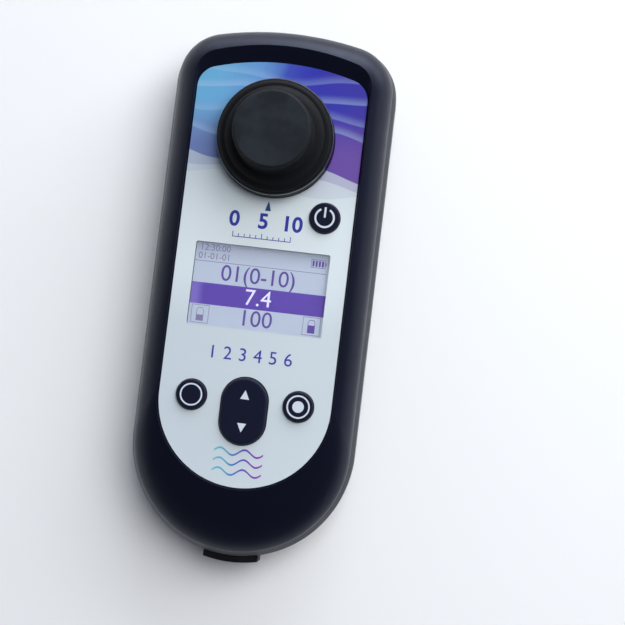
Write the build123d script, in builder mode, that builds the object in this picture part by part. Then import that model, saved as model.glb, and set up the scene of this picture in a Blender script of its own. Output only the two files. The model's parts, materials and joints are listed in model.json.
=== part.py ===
"""Hand-held pool water photometer, lying on its back.

Millimetres. +X is the instrument's right, +Y its top end and +Z points out of its face.
The origin is on the flat back, straight behind the centre of the display.
"""

from build123d import *
from math import atan, atan2, cos, degrees, radians, sin, sqrt, tan
import os

# Heights: the parting line over the flat back, and how far the shoulder lies below it
parting_height = 24.0
shoulder_drop = 4.0
label_thickness = 0.5
face_wall = 1.9
ridge_rise = 1.4

# Outline at the parting line
label_side_margin = 6.75
body_bottom = -96.4
body_top = 97.0
body_crown = 120.0
body_corner = 17.5

# How far the rear shell stands out past the parting line
rear_side_step = 1.4
rear_bottom_step = 2.0
rear_top_step = 0.8
back_edge_radius = 7.0
shoulder_radius = 2.5

# Ridge round the face, and the face label inside it
ridge_side_inset = 7.6
ridge_bottom_inset = 23.2
ridge_top_inset = 7.2
ridge_crown = 88.0
ridge_corner = 9.0
ridge_crest = 0.25
label_side_inset = 1.05
label_bottom_inset = 0.9
label_top_inset = 6.2
label_crown = 90.0
label_corner = 8.0
label_gap = 0.15

# Shell walls and joints
wall = 2.2
floor = 2.4
room_corner_radius = 4.0
lower_roof_wall = 4.0
shell_gasket_width = 0.9
shell_gasket_depth = 1.2
band_turn = 60.0

# Fasteners
shell_screw_radius = 1.2
shell_post_radius = 3.6
post_embed = 0.4
upper_post_inset = (8.6, 13.4)
lower_post_inset = (10.1, 26.4)
board_screw_inset = 4.3
shell_boss_radius = 3.2
shell_screw_seat = 9.0
shell_screw_bite = 3.6
small_screw_radius = 0.9
small_screw_bite = 4.0
small_post_radius = 2.4
board_post_bite = 5.0
head_ratio = 1.9
head_height_ratio = 1.5
socket_ratio = 1.0
screw_clearance = 0.25

# Display
display_width = 49.4
display_height = 30.4
window_margin = 1.8
window_thickness = 1.0
glass_margin = 3.0
glass_thickness = 1.8
glass_gap = 0.4
backlight_thickness = 2.4
bezel_wall = 2.0
bezel_floor = 1.8
aperture_gap = 0.2

# Main board
board_thickness = 1.6
board_side_gap = 7.6
board_bottom_margin = 2.4
board_chamber_gap = 19.1
chip_room = 3.8
radio_side_inset = 14.3
radio_end_inset = 22.0
radio_half_width = 7.0
radio_half_length = 9.0
radio_board_thickness = 0.8
radio_can_height = 1.4
radio_can_margin = 1.0
radio_antenna_length = 4.0
buzzer_gap = 1.5
clock_side_inset = 12.3
clock_end_inset = 20.0
clip_end_reach = 2.75
clip_flex_gap = 0.3
display_flex_drop = 1.0
display_flex_reach = 6.0

# Keys
key_radius = 5.55
key_proud = 1.5
key_gap = 0.25
key_edge_radius = 0.7
key_flange_margin = 1.45
key_flange_thickness = 1.2
key_play = 0.3
key_travel = 0.8
plunger_radius = 2.0
dome_radius = 4.0
dome_height = 0.8
side_key_gap = 5.55
side_key_y = -40.7
power_key_x = 20.97
power_key_gap = 7.65

# Rocker key
rocker_width = 16.9
rocker_length = 24.4
rocker_y = -44.6
rocker_gap = 0.35
rocker_edge_radius = 1.1
rocker_plate = 4.5
rocker_pin_radius = 1.0
rocker_pin_clearance = 0.06
rocker_pin_drop = 1.4
rocker_boss_radius = 2.2
rocker_nub_reach = 8.0
ear_thickness = 2.0
ear_half_length = 3.2

# Vial chamber
chamber_key_gap = 26.7
vial_radius = 12.2
vial_clearance = 0.3
chamber_wall = 4.0
chamber_floor_top = 6.0
mouth_radius = 15.2
mouth_depth = 5.3
collar_proud = 0.3
collar_gap = 0.4
chamber_flange_radius = 21.5
chamber_flange_thickness = 2.6
chamber_gasket_thickness = 1.0
chamber_screw_circle = 24.0
beam_height = 17.0
beam_radius = 1.2
beam_pocket_radius = 2.6
beam_wall = 2.0
lens_thickness = 0.8
filter_thickness = 1.0
lamp_length = 5.0
detector_length = 3.4
lens_clearance = 0.1
optics_board_height = 12.0
optics_board_radius = 25.0
optics_screw_circle = 21.8

# Light cap
cap_radius = 21.6
cap_height = 22.4
cap_rim_height = 7.5
cap_rim_draft = 0.3
cap_rim_radius = 0.7
cap_seat_chamfer = 0.4
cap_ring_radius = 18.1
cap_ring_height = 9.4
cap_ring_step = 0.5
knob_radius = 14.0
knob_edge_radius = 1.1
knob_foot_height = 12.4
knob_fillet = 1.0
cap_roof = 2.0
cap_bore_radius = 12.7
skirt_clearance = 0.4
skirt_reach = 4.7
cap_seal_height = 1.4
cap_seal_depth = 0.8
cap_seal_clearance = 0.2

# Batteries
cell_count = 3
cell_radius = 7.25
cell_length = 50.5
cell_pitch = 15.2
cell_play = 0.5
contact_thickness = 0.4
contact_half_width = 5.0
contact_spring_length = 4.4
nub_radius = 2.75
nub_length = 1.0
battery_y = -35.0
tub_wall = 1.6
door_thickness = 2.2
door_ledge = 1.8
door_side_margin = 3.0
door_end_margin = 6.4
door_corner_radius = 3.0
door_gap = 0.25
door_gasket_width = 1.2
door_gasket_thickness = 0.8
door_gasket_margin = 0.5
door_screw_x = 16.0
door_screw_inset = 3.4
door_post_height = 4.0

# Charging and data socket with its cover
socket_width = 9.0
socket_height = 3.3
socket_length = 7.3
socket_wall = 0.35
socket_inset = 0.4
socket_gap = 0.2
socket_board_height = 11.4
socket_board_half_width = 10.0
socket_board_length = 13.0
socket_screw_x = 7.0
cover_half_width = 10.2
cover_thickness = 2.2
cover_gap = 0.3
cover_lip = 0.6
cover_low = 6.5
cover_high = 18.3
cover_plug_depth = 0.55
cover_plug_gap = 0.35
anchor_gap = 0.4
anchor_half_width = 8.0
anchor_high = 19.8

buzzer_radius = 5.5
buzzer_height = 3.0
clock_cell_radius = 6.25
clock_cell_thickness = 2.5
clip_thickness = 0.4
clip_half_width = 3.0
flex_thickness = 0.3
flex_half_width = 3.0

# Values worked out from the sizes above
body_half_width = display_width / 2 + label_side_margin + label_side_inset + ridge_side_inset
shoulder_height = parting_height - shoulder_drop
cell_height = door_thickness + 1.0 + cell_radius
tub_ceiling = cell_height + cell_radius + cell_play
tub_top = tub_ceiling + tub_wall
board_low = tub_top + chip_room
board_high = board_low + board_thickness
ceiling = board_high + bezel_floor + backlight_thickness + glass_thickness + glass_gap
label_floor = ceiling + face_wall
face_height = label_floor + label_thickness
rise = face_height - parting_height
side_key_x = rocker_width / 2 + side_key_gap + key_radius
power_key_y = display_height / 2 + power_key_gap + key_radius
chamber_y = power_key_y + chamber_key_gap
board_half_width = body_half_width - wall - board_side_gap
board_top = chamber_y - board_chamber_gap
ridge_half_width = body_half_width - ridge_side_inset
ridge_bottom = body_bottom + ridge_bottom_inset
ridge_top = body_top - ridge_top_inset
ridge_tilt = degrees(atan(ridge_rise / (ridge_top - ridge_bottom)))
chamber_radius = vial_radius + vial_clearance
chamber_outer = chamber_radius + chamber_wall
collar_outer = max(chamber_outer, mouth_radius + 1.3)
collar_top = face_height + collar_proud
chamber_flange_top = ceiling - chamber_gasket_thickness
chamber_flange_low = chamber_flange_top - chamber_flange_thickness
rear_bottom = body_bottom - rear_bottom_step
rear_half_width = body_half_width + rear_side_step
rear_arc_y = rear_bottom + rear_half_width
flap_inner = rear_half_width + cover_gap
anchor_inner = rear_half_width - 1.2
tub_half_width = (cell_count - 1) / 2 * cell_pitch + cell_radius + cell_play
tub_half_length = (cell_length + contact_thickness + contact_spring_length) / 2
tub_low_y = battery_y - tub_half_length
tub_high_y = battery_y + tub_half_length
board_bottom = tub_low_y - board_bottom_margin
cell_columns = [(i - (cell_count - 1) / 2) * cell_pitch for i in range(cell_count)]
dome_top = board_high + dome_height
plunger_low = dome_top + key_travel + 0.1
key_top = face_height + key_proud
pin_height = ceiling - rocker_pin_drop
shell_boss_top = parting_height + shell_screw_bite + 0.4

side_post_x = body_half_width - wall - shell_post_radius + post_embed
post_rows = [
    (body_half_width - upper_post_inset[0], body_top - upper_post_inset[1]),
    (side_post_x, 8.0),
    (body_half_width - lower_post_inset[0], body_bottom + lower_post_inset[1]),
]
shell_screw_places = [(sign * x, y) for x, y in post_rows for sign in (-1, 1)]
board_screw_x = board_half_width - board_screw_inset
board_screw_places = [
    (2 - board_screw_x, board_top - board_screw_inset - 1.7),
    (board_half_width - 22.3, board_top - board_screw_inset - 0.7),
    (-board_screw_x, board_bottom + board_screw_inset + 2.7),
    (board_screw_x, board_bottom + board_screw_inset + 2.7),
]
key_places = {
    "power_key": (power_key_x, power_key_y),
    "left_key": (-side_key_x, side_key_y),
    "right_key": (side_key_x, side_key_y),
}
door_screw_places = [
    (side * door_screw_x, battery_y + end * (tub_half_length + door_screw_inset))
    for side in (-1, 1)
    for end in (-1, 1)
]
chamber_screw_places = [
    (chamber_screw_circle * cos(radians(a)), chamber_y + chamber_screw_circle * sin(radians(a)))
    for a in (90, 210, 330)
]
optics_screw_places = [
    (optics_screw_circle * cos(radians(a)), chamber_y + optics_screw_circle * sin(radians(a)))
    for a in (30, 150, 270)
]
socket_screw_places = [(side * socket_screw_x, body_bottom + 9.9) for side in (-1, 1)]
beam_angles = (0, 60, 120)

seated = (Align.CENTER, Align.CENTER, Align.MIN)
os.makedirs("parts", exist_ok=True)


def outline(plane, half_width, bottom, top, crown, corner, inset=0.0):
    """Half-round lower end, straight sides, rounded corners and a shallow crown at the top end."""
    half_width -= inset
    bottom += inset
    top -= inset
    crown -= inset
    corner -= inset
    crown_y = top - crown
    corner_x = half_width - corner
    corner_y = crown_y + sqrt((crown - corner) ** 2 - corner_x**2)
    turn = atan2(corner_y - crown_y, corner_x)
    middle = (corner_x + corner * cos(turn / 2), corner_y + corner * sin(turn / 2))
    shoulder = (corner_x + corner * cos(turn), corner_y + corner * sin(turn))
    low_y = bottom + half_width
    with BuildSketch(plane) as sketch:
        with BuildLine():
            ThreePointArc((-half_width, low_y), (0, bottom), (half_width, low_y))
            Line((half_width, low_y), (half_width, corner_y))
            ThreePointArc((half_width, corner_y), middle, shoulder)
            ThreePointArc(shoulder, (0, top), (-shoulder[0], shoulder[1]))
            ThreePointArc((-shoulder[0], shoulder[1]), (-middle[0], middle[1]), (-half_width, corner_y))
            Line((-half_width, corner_y), (-half_width, low_y))
        make_face()
    return sketch.sketch


def body_outline(height, inset=0.0):
    """Outline of the parting line at a height, or inside it by an inset."""
    return outline(
        Plane.XY.offset(height),
        body_half_width,
        body_bottom,
        body_top,
        body_crown,
        body_corner,
        inset,
    )


def rear_outline(height):
    """Outline of the rear shell, which stands out a little past the parting line."""
    return outline(
        Plane.XY.offset(height),
        rear_half_width,
        rear_bottom,
        body_top + rear_top_step,
        body_crown,
        body_corner + rear_side_step,
    )


def band_section(turn, inset=0.0, roof=None, lower_inset=0.0):
    """Section of the convex band, from the parting line at 0 degrees to the ridge at band_turn."""
    inward = (1 - cos(radians(turn))) / (1 - cos(radians(band_turn)))
    upward = sin(radians(turn)) / sin(radians(band_turn))
    tilt = radians(ridge_tilt * upward) if roof is None else 0.0
    height = parting_height + rise * upward - ridge_bottom * tan(tilt) if roof is None else roof
    return outline(
        Plane(origin=(0, 0, height), x_dir=(1, 0, 0), z_dir=(0, -sin(tilt), cos(tilt))),
        body_half_width - ridge_side_inset * inward,
        body_bottom + ridge_bottom_inset * inward + lower_inset,
        body_top - ridge_top_inset * inward,
        body_crown + (ridge_crown - body_crown) * inward,
        body_corner + (ridge_corner - body_corner) * inward,
        inset,
    )


def label_outline(height, inset=0.0):
    """Outline of the face label."""
    return outline(
        Plane.XY.offset(height),
        ridge_half_width - label_side_inset,
        ridge_bottom + label_bottom_inset,
        ridge_top - label_top_inset,
        label_crown,
        label_corner,
        inset,
    )


def posts(places, radius, low, high, mode=Mode.ADD):
    """Round posts or holes from one height to another at each place."""
    with Locations(*[(x, y, low) for x, y in places]):
        Cylinder(radius, high - low, align=seated, mode=mode)


def block(x_range, y_range, z_range, mode=Mode.ADD):
    """Rectangular block or pocket between two corners."""
    with Locations(tuple((a + b) / 2 for a, b in (x_range, y_range, z_range))):
        Box(*[b - a for a, b in (x_range, y_range, z_range)], mode=mode)


def plate(width, length, corner, low, high, centre=(0, 0), mode=Mode.ADD):
    """Flat plate or pocket with rounded corners."""
    with BuildSketch(Plane.XY.offset(low)) as sketch:
        with Locations(centre):
            RectangleRounded(width, length, corner)
    extrude(sketch.sketch, amount=high - low, mode=mode)


def stadium(width, length, low, high, centre, mode=Mode.ADD):
    """Upright plate or hole with round ends."""
    with BuildSketch(Plane.XY.offset(low)) as sketch:
        with Locations(centre):
            SlotOverall(length, width, rotation=90)
    extrude(sketch.sketch, amount=high - low, mode=mode)


def strip(points, thickness, x_low, x_high, side=Side.LEFT):
    """Thin bent strip on one side of a path of points (y, z), between two x values."""
    with BuildSketch(Plane.YZ.offset(x_low)) as sketch:
        with BuildLine():
            Polyline(*points)
            offset(amount=thickness, side=side)
        make_face()
    extrude(sketch.sketch, amount=x_high - x_low)


def beam_plane(angle, distance):
    """Plane across a light beam at a distance from the vial's axis, facing outwards."""
    way = (cos(radians(angle)), sin(radians(angle)), 0)
    return Plane(origin=(distance * way[0], chamber_y + distance * way[1], beam_height), z_dir=way)


def beam_discs(angles, distance, radius, thickness, mode=Mode.ADD):
    """Discs or pockets across the beams, their inner faces at a distance from the vial's axis."""
    with Locations(*[beam_plane(angle, distance) for angle in angles]):
        Cylinder(radius, thickness, align=seated, mode=mode)


def curved_strap(inner, outer, half_width, low, high, mode=Mode.ADD):
    """Strap curved round the lower end between two radii and two heights."""
    with BuildSketch(Plane.XY.offset(low)) as section:
        with Locations((0, rear_arc_y)):
            Circle(outer)
            Circle(inner, mode=Mode.SUBTRACT)
        with Locations((0, rear_bottom)):
            Rectangle(2 * half_width, rear_half_width, mode=Mode.INTERSECT)
    extrude(section.sketch, amount=high - low, mode=mode)


def screws(places, seat, way, radius, length):
    """Group of socket screws. way is 1 where the shafts point up from the heads' seat, -1 down."""
    head_end = seat - way * head_height_ratio * radius
    socket_end = head_end + way * socket_ratio * radius
    with BuildPart() as group:
        posts(places, head_ratio * radius, min(seat, head_end), max(seat, head_end))
        posts(places, radius, min(seat, seat + way * length), max(seat, seat + way * length))
        with BuildSketch(Plane.XY.offset(min(head_end, socket_end))) as sockets:
            with Locations(*places):
                RegularPolygon(radius, 6)
        extrude(sockets.sketch, amount=abs(head_end - socket_end), mode=Mode.SUBTRACT)
    return group


def save(name, piece):
    """Labels a finished piece and writes it to its own file."""
    piece.part.label = name
    export_step(piece.part, f"parts/{name}.step")


# Shells
with BuildPart() as front_form:
    loft([band_section(turn) for turn in (0, 15, 30, 45, band_turn)])

with BuildPart() as front_bosses:
    posts(shell_screw_places, shell_boss_radius, parting_height, ceiling)
    add(front_form.part, mode=Mode.INTERSECT)

with BuildPart() as front_shell:
    add(front_form.part)
    roof_rise = (ceiling - parting_height) / sin(radians(45))
    loft(
        [
            band_section(
                turn,
                wall,
                parting_height + roof_rise * sin(radians(turn)),
                lower_roof_wall * sin(radians(turn)),
            )
            for turn in (0, 15, 30, 45)
        ],
        mode=Mode.SUBTRACT,
    )
    add(front_bosses.part)
    # Bowl from the ridge down to the label's floor
    loft(
        [label_outline(label_floor, -label_gap), band_section(band_turn, ridge_crest)],
        ruled=True,
        mode=Mode.SUBTRACT,
    )
    # Window pocket and aperture
    plate(
        display_width + 2 * (window_margin + aperture_gap),
        display_height + 2 * (window_margin + aperture_gap),
        1.2,
        label_floor - window_thickness,
        label_floor + 0.01,
        mode=Mode.SUBTRACT,
    )
    plate(display_width, display_height, 0.8, ceiling - 1, label_floor, mode=Mode.SUBTRACT)
    # Key openings
    posts(key_places.values(), key_radius + key_gap, ceiling - 1, face_height, Mode.SUBTRACT)
    stadium(
        rocker_width + 2 * rocker_gap,
        rocker_length + 2 * rocker_gap,
        ceiling - 1,
        face_height,
        (0, rocker_y),
        Mode.SUBTRACT,
    )
    # Ears that carry the rocker's pin
    for side in (-1, 1):
        ear_start = rocker_width / 2 + rocker_gap + 0.1
        block(
            sorted((side * ear_start, side * (ear_start + ear_thickness))),
            (rocker_y - ear_half_length, rocker_y + ear_half_length),
            (pin_height - 2 * rocker_pin_radius, ceiling + 0.5),
        )
    with Locations((0, rocker_y, pin_height)):
        Cylinder(rocker_pin_radius, body_half_width, rotation=(0, 90, 0), mode=Mode.SUBTRACT)
    # Vial mouth, and the bosses for the chamber's and the board's screws
    posts(chamber_screw_places, small_post_radius + 0.6, chamber_flange_top, ceiling + 0.5)
    posts(board_screw_places, small_post_radius, board_high, ceiling + 0.5)
    posts([(0, chamber_y)], collar_outer + collar_gap, chamber_flange_low, face_height + 4, Mode.SUBTRACT)
    posts(chamber_screw_places, small_screw_radius, chamber_flange_top, ceiling + 0.9, Mode.SUBTRACT)
    posts(
        board_screw_places,
        small_screw_radius,
        board_high,
        board_high + small_screw_bite + 0.4,
        Mode.SUBTRACT,
    )
    posts(shell_screw_places, shell_screw_radius, parting_height, shell_boss_top, Mode.SUBTRACT)

with BuildPart() as rear_form:
    extrude(rear_outline(0), amount=shoulder_height)
    loft([rear_outline(shoulder_height), body_outline(parting_height)], ruled=True)
    fillet(rear_form.edges().group_by(Axis.Z)[0], back_edge_radius)
    fillet(
        rear_form.edges().filter_by_position(Axis.Z, shoulder_height - 0.01, shoulder_height + 0.01),
        shoulder_radius,
    )

with BuildPart() as rear_room:
    extrude(body_outline(floor, wall), amount=parting_height - floor)
    fillet(rear_room.edges().group_by(Axis.Z)[0], room_corner_radius)

door_half_width = tub_half_width + door_side_margin
door_half_length = tub_half_length + door_end_margin
ledge_top = door_thickness + door_ledge
tub_middle = (0, battery_y)

with BuildPart() as rear_shell:
    add(rear_form.part)
    add(rear_room.part, mode=Mode.SUBTRACT)
    posts(shell_screw_places, shell_post_radius, floor - 1, parting_height)
    # Battery tub with the ledge that the door closes against
    plate(
        2 * (door_half_width + door_gap + tub_wall),
        2 * (door_half_length + door_gap + tub_wall),
        door_corner_radius,
        floor - 1,
        ledge_top,
        tub_middle,
    )
    plate(
        2 * (tub_half_width + tub_wall),
        2 * (tub_half_length + tub_wall),
        2,
        floor - 1,
        tub_top,
        tub_middle,
    )
    posts(door_screw_places, small_post_radius, floor - 1, ledge_top + door_post_height)
    posts(optics_screw_places, small_post_radius, floor - 1, optics_board_height)
    posts(socket_screw_places, small_post_radius, floor - 1, socket_board_height)
    plate(
        2 * (door_half_width + door_gap),
        2 * (door_half_length + door_gap),
        door_corner_radius,
        0,
        door_thickness,
        tub_middle,
        Mode.SUBTRACT,
    )
    plate(2 * tub_half_width, 2 * tub_half_length, 0.5, 0, tub_ceiling, tub_middle, Mode.SUBTRACT)
    # Slots for the battery contacts' tails
    for column in cell_columns:
        for end, way in ((tub_low_y, 1), (tub_high_y, -1)):
            block(
                (column - 1.6, column + 1.6),
                sorted((end, end + way * 3 * contact_thickness)),
                (tub_ceiling - 1, tub_top),
                Mode.SUBTRACT,
            )
    # Grooves for the two gaskets
    with BuildSketch(Plane.XY.offset(parting_height - shell_gasket_depth)) as shell_groove:
        add(body_outline(0, (wall - shell_gasket_width) / 2))
        add(body_outline(0, (wall + shell_gasket_width) / 2), mode=Mode.SUBTRACT)
    extrude(shell_groove.sketch, amount=shell_gasket_depth, mode=Mode.SUBTRACT)
    with BuildSketch(Plane.XY.offset(door_thickness)) as door_groove:
        with Locations(tub_middle):
            RectangleRounded(
                2 * (tub_half_width + door_gasket_margin + door_gasket_width),
                2 * (tub_half_length + door_gasket_margin + door_gasket_width),
                1.5,
            )
            RectangleRounded(
                2 * (tub_half_width + door_gasket_margin),
                2 * (tub_half_length + door_gasket_margin),
                0.6,
                mode=Mode.SUBTRACT,
            )
    extrude(door_groove.sketch, amount=door_gasket_thickness, mode=Mode.SUBTRACT)
    # Screw holes
    shell_screw_head = head_ratio * shell_screw_radius + screw_clearance
    posts(shell_screw_places, shell_screw_head, 0, shell_screw_seat, Mode.SUBTRACT)
    posts(shell_screw_places, shell_screw_radius + screw_clearance, 0, parting_height, Mode.SUBTRACT)
    posts(door_screw_places, small_screw_radius, 0, ledge_top + door_post_height - 1, Mode.SUBTRACT)
    for places, height in (
        (optics_screw_places, optics_board_height),
        (socket_screw_places, socket_board_height),
    ):
        posts(places, small_screw_radius, height - board_post_bite, height, Mode.SUBTRACT)
    # Opening for the socket, and the slot that holds the port cover's anchor
    socket_middle = socket_board_height + board_thickness + socket_height / 2
    with BuildSketch(Plane.XZ.offset(-body_bottom - 8)) as socket_hole:
        with Locations((0, socket_middle)):
            RectangleRounded(
                socket_width + 2 * socket_gap,
                socket_height + 2 * socket_gap,
                socket_height / 2,
            )
    extrude(socket_hole.sketch, amount=12, mode=Mode.SUBTRACT)
    curved_strap(
        anchor_inner,
        flap_inner + 1,
        anchor_half_width,
        cover_high + anchor_gap,
        anchor_high,
        Mode.SUBTRACT,
    )

with BuildPart() as shell_gasket:
    extrude(shell_groove.sketch, amount=shell_gasket_depth)

with BuildPart() as door_gasket:
    extrude(door_groove.sketch, amount=door_gasket_thickness)

shell_screws = screws(
    shell_screw_places,
    shell_screw_seat,
    1,
    shell_screw_radius,
    parting_height + shell_screw_bite - shell_screw_seat,
)

# Battery door, cells and contacts
door_screw_seat = head_height_ratio * small_screw_radius
with BuildPart() as battery_door:
    plate(2 * door_half_width, 2 * door_half_length, door_corner_radius, 0, door_thickness, tub_middle)
    posts(
        door_screw_places,
        head_ratio * small_screw_radius + screw_clearance,
        0,
        door_screw_seat,
        Mode.SUBTRACT,
    )
    posts(door_screw_places, small_screw_radius + screw_clearance, 0, door_thickness, Mode.SUBTRACT)
    # Shallow finger rib field across the door
    for step in range(-3, 4):
        block(
            (-tub_half_width / 2, tub_half_width / 2),
            (battery_y + 4 * step - 0.5, battery_y + 4 * step + 0.5),
            (0, 0.5),
            Mode.SUBTRACT,
        )

door_screws = screws(
    door_screw_places,
    door_screw_seat,
    1,
    small_screw_radius,
    door_thickness - door_screw_seat + small_screw_bite,
)

cell_high_y = tub_high_y - contact_thickness
with BuildPart() as aa_cells:
    for column in cell_columns:
        with Locations(Plane(origin=(column, cell_high_y, cell_height), z_dir=(0, -1, 0))):
            Cylinder(nub_radius, nub_length + 0.5, align=seated)
        with Locations(Plane(origin=(column, cell_high_y - nub_length, cell_height), z_dir=(0, -1, 0))):
            Cylinder(cell_radius, cell_length - nub_length, align=seated)

with BuildPart() as contact_plates:
    for column in cell_columns:
        block(
            (column - contact_half_width, column + contact_half_width),
            (tub_high_y - contact_thickness, tub_high_y),
            (door_thickness + 2, tub_ceiling - 0.4),
        )
        block(
            (column - 1.2, column + 1.2),
            (tub_high_y - contact_thickness, tub_high_y),
            (tub_ceiling - 1, board_low),
        )

with BuildPart() as contact_springs:
    for column in cell_columns:
        block(
            (column - contact_half_width, column + contact_half_width),
            (tub_low_y, tub_low_y + contact_thickness),
            (door_thickness + 2, tub_ceiling - 0.4),
        )
        block(
            (column - 1.2, column + 1.2),
            (tub_low_y, tub_low_y + contact_thickness),
            (tub_ceiling - 1, board_low),
        )
        strip(
            [
                (tub_low_y + contact_thickness, cell_height - 5.5),
                (tub_low_y + contact_spring_length, cell_height - 0.8),
                (tub_low_y + contact_spring_length, cell_height + 0.8),
                (tub_low_y + contact_thickness + 1.2, cell_height + 4.5),
            ],
            contact_thickness,
            column - 2.5,
            column + 2.5,
        )

# Face label and display
with BuildPart() as face_label:
    extrude(label_outline(label_floor), amount=label_thickness)
    plate(display_width, display_height, 0.8, label_floor, face_height, mode=Mode.SUBTRACT)
    posts(key_places.values(), key_radius + key_gap, label_floor, face_height, Mode.SUBTRACT)
    stadium(
        rocker_width + 2 * rocker_gap,
        rocker_length + 2 * rocker_gap,
        label_floor,
        face_height,
        (0, rocker_y),
        Mode.SUBTRACT,
    )
    posts([(0, chamber_y)], collar_outer + collar_gap, label_floor, face_height, Mode.SUBTRACT)

with BuildPart() as display_window:
    plate(
        display_width + 2 * window_margin,
        display_height + 2 * window_margin,
        1,
        label_floor - window_thickness,
        label_floor,
    )

glass_width = display_width + 2 * glass_margin
glass_height = display_height + 2 * glass_margin
backlight_low = board_high + bezel_floor
glass_low = backlight_low + backlight_thickness
with BuildPart() as backlight_panel:
    plate(glass_width, glass_height, 0.5, backlight_low, glass_low)

with BuildPart() as lcd_glass:
    plate(glass_width, glass_height, 0.3, glass_low, glass_low + glass_thickness)

bezel_half_height = glass_height / 2 + aperture_gap + bezel_wall
with BuildPart() as lcd_bezel:
    plate(
        glass_width + 2 * (aperture_gap + bezel_wall),
        2 * bezel_half_height,
        1.5,
        board_high,
        ceiling,
    )
    plate(
        glass_width + 2 * aperture_gap,
        glass_height + 2 * aperture_gap,
        0.5,
        backlight_low,
        ceiling,
        mode=Mode.SUBTRACT,
    )
    plate(display_width - 4, display_height - 4, 2, board_high, backlight_low, mode=Mode.SUBTRACT)
    block(
        (-display_width / 4, display_width / 4),
        (-bezel_half_height, -glass_height / 2),
        (glass_low, glass_low + 3 * flex_thickness),
        Mode.SUBTRACT,
    )

with BuildPart() as display_flex:
    strip(
        [
            (-bezel_half_height - display_flex_reach, board_high),
            (-bezel_half_height - display_flex_drop, board_high),
            (-bezel_half_height - display_flex_drop, glass_low + flex_thickness),
            (-glass_height / 2, glass_low + flex_thickness),
        ],
        flex_thickness,
        -display_width / 4 + 0.5,
        display_width / 4 - 0.5,
    )

# Main board and what it carries
with BuildPart() as main_board:
    block((-board_half_width, board_half_width), (board_bottom, board_top), (board_low, board_high))
    fillet(main_board.edges().filter_by(Axis.Z), 2.0)
    posts(board_screw_places, small_screw_radius + screw_clearance, board_low, board_high, Mode.SUBTRACT)

board_screws = screws(
    board_screw_places, board_low, 1, small_screw_radius, board_thickness + small_screw_bite
)

chip_sizes = {
    (-8, -22): (10, 10, 1.4),
    (8, -26): (6, 7, 1.2),
    (-20, -34): (5, 6, 1.1),
    (16, -45): (7, 5, 1.2),
    (-14, -1): (5, 5, 1.0),
    (2, 2): (4, 6, 1.6),
}
with BuildPart() as board_chips:
    for (x, y), (width, length, height) in chip_sizes.items():
        with Locations((x, y, board_low)):
            Box(width, length, height, align=(Align.CENTER, Align.CENTER, Align.MAX))

radio_x = board_half_width - radio_side_inset
radio_y = board_top - radio_end_inset
radio_floor = board_low - radio_board_thickness
can_half_width = radio_half_width - radio_can_margin
can_half_length = radio_half_length - radio_can_margin
with BuildPart() as radio_module:
    block(
        (radio_x - radio_half_width, radio_x + radio_half_width),
        (radio_y - radio_half_length, radio_y + radio_half_length),
        (radio_floor, board_low),
    )
    block(
        (radio_x - can_half_width, radio_x + can_half_width),
        (radio_y - can_half_length, radio_y + can_half_length - radio_antenna_length),
        (radio_floor - radio_can_height, radio_floor),
    )

buzzer_x = board_half_width - buzzer_radius - radio_board_thickness
buzzer_place = [(buzzer_x, radio_y - radio_half_length - buzzer_radius - buzzer_gap)]
with BuildPart() as buzzer:
    posts(buzzer_place, buzzer_radius, board_low - buzzer_height, board_low)
    posts(buzzer_place, 1.2, board_low - buzzer_height, board_low - 1.6, Mode.SUBTRACT)

clock_x = clock_side_inset - board_half_width
clock_y = board_top - clock_end_inset
clip_reach = clock_cell_radius + clip_end_reach
optics_flex_x = clock_x + clip_reach + clip_flex_gap
clip_low = board_low - clock_cell_thickness - 2 * clip_thickness
with BuildPart() as clock_cell:
    posts([(clock_x, clock_y)], clock_cell_radius, clip_low + clip_thickness, board_low - clip_thickness)

with BuildPart() as clock_cell_clip:
    block(
        (clock_x - clip_reach, clock_x + clip_reach),
        (clock_y - clip_half_width, clock_y + clip_half_width),
        (clip_low, board_low),
    )
    block(
        (clock_x - clip_reach + clip_thickness, clock_x + clip_reach - clip_thickness),
        (clock_y - clip_half_width, clock_y + clip_half_width),
        (clip_low + clip_thickness, board_low - clip_thickness),
        Mode.SUBTRACT,
    )

dome_places = [*key_places.values(), (0, rocker_y - rocker_nub_reach), (0, rocker_y + rocker_nub_reach)]
with BuildPart() as snap_domes:
    with Locations(*[(x, y, board_high) for x, y in dome_places]):
        Cone(dome_radius, dome_radius * 0.65, dome_height, align=seated)


# Keys
def make_key(place):
    """Round key: cap, retaining flange under the face and a plunger over its dome."""
    flange_top = ceiling - key_play
    with BuildPart() as key:
        posts([place], key_radius, flange_top - key_flange_thickness, key_top)
        fillet(key.edges().group_by(Axis.Z)[-1], key_edge_radius)
        posts([place], key_radius + key_flange_margin, flange_top - key_flange_thickness, flange_top)
        posts([place], plunger_radius, plunger_low, flange_top)
    return key


with BuildPart() as rocker_key:
    stadium(rocker_width, rocker_length, key_top - rocker_plate, key_top, (0, rocker_y))
    fillet(rocker_key.edges().group_by(Axis.Z)[-1], rocker_edge_radius)
    with Locations((0, rocker_y, pin_height)):
        Cylinder(rocker_boss_radius, rocker_width - 0.8, rotation=(0, 90, 0))
    posts(
        [(0, rocker_y - rocker_nub_reach), (0, rocker_y + rocker_nub_reach)],
        plunger_radius,
        plunger_low,
        key_top - 1,
    )
    with Locations((0, rocker_y, pin_height)):
        Cylinder(
            rocker_pin_radius + rocker_pin_clearance,
            2 * rocker_width,
            rotation=(0, 90, 0),
            mode=Mode.SUBTRACT,
        )

with BuildPart() as rocker_pin:
    with Locations((0, rocker_y, pin_height)):
        Cylinder(
            rocker_pin_radius,
            rocker_width + 2 * (rocker_gap + 0.1 + ear_thickness),
            rotation=(0, 90, 0),
        )

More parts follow.
